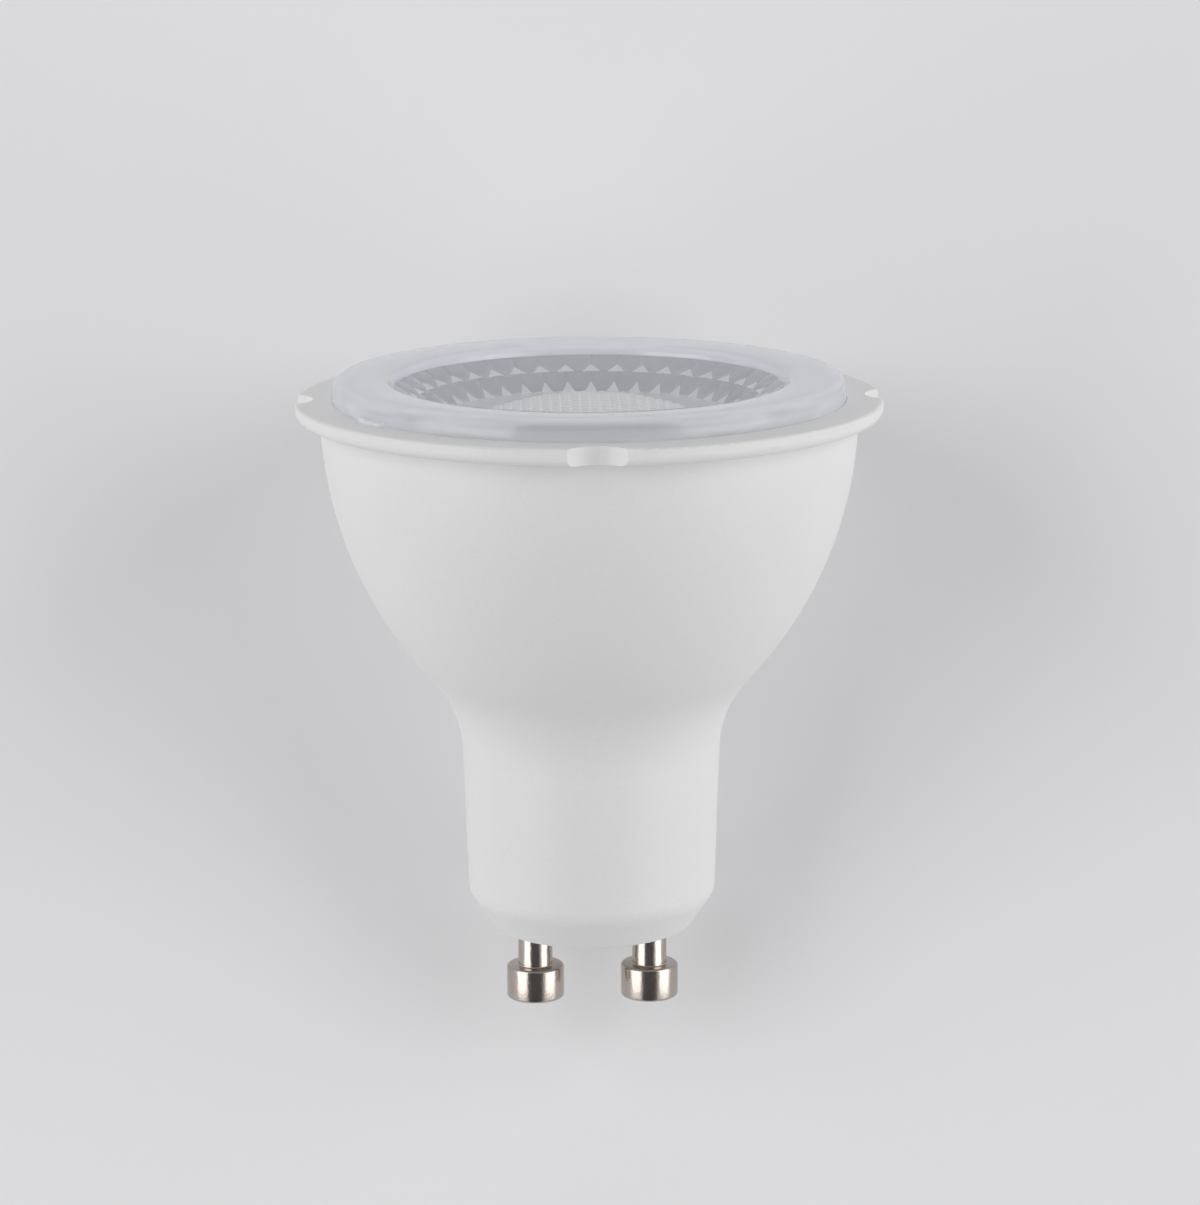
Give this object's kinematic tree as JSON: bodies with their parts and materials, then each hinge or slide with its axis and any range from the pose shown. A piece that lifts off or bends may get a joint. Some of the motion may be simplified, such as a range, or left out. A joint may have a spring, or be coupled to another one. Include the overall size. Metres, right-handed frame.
{
  "type": "spotlight bulb",
  "caption": "Reflector spotlight bulb with a white flared body, a clear faceted front lens in a notched flange, and twist-lock contact pins.",
  "frame": {"origin": "on the lamp axis, in the plane of the contact pins' tips", "axes": "+Z along the lamp axis from the pins towards the lens, X through both contact pins"},
  "size_m": [0.0498, 0.0498, 0.0553],
  "materials": {
    "white_plastic": "fine satin moulding",
    "clear_plastic": "clear polished moulding",
    "nickel_plate": "bright nickel plate on turned brass",
    "drawn_aluminium": "drawn, plain",
    "silicone_pad": "soft filled silicone",
    "white_solder_mask": "white solder mask on aluminium",
    "white_ceramic": "fired ceramic",
    "phosphor": "cured silicone with phosphor",
    "zinc_steel": "zinc plated",
    "green_laminate": "solder mask on glass laminate",
    "capacitor_sleeve": "shrunk sleeve",
    "film_box": "dipped epoxy",
    "resistor_coating": "flameproof coating",
    "ferrite": "sintered ferrite",
    "copper_wire": "enamelled copper wire",
    "black_epoxy": "moulded epoxy",
    "tinned_copper": "tinned copper wire",
    "red_insulation": "insulated wire",
    "black_insulation": "insulated wire"
  },
  "bodies": {
    "root": {"outer_shell": "white_plastic", "lens": "clear_plastic", "contact_pin_left": "nickel_plate", "contact_pin_right": "nickel_plate", "heat_sink_cup": "drawn_aluminium", "thermal_pad": "silicone_pad", "led_board": "white_solder_mask", "led_substrate": "white_ceramic", "led_phosphor": "phosphor", "board_screws": "zinc_steel", "driver_board": "green_laminate", "bulk_capacitor": "capacitor_sleeve", "output_capacitor": "capacitor_sleeve", "film_capacitor": "film_box", "fusible_resistor": "resistor_coating", "inductor_core": "ferrite", "inductor_winding": "copper_wire", "bridge_rectifier": "black_epoxy", "driver_chip": "black_epoxy", "freewheel_diode": "black_epoxy", "chip_resistors": "black_epoxy", "live_lead": "tinned_copper", "neutral_lead": "tinned_copper", "led_lead_plus": "red_insulation", "led_lead_minus": "black_insulation"}
  },
  "joints": []
}
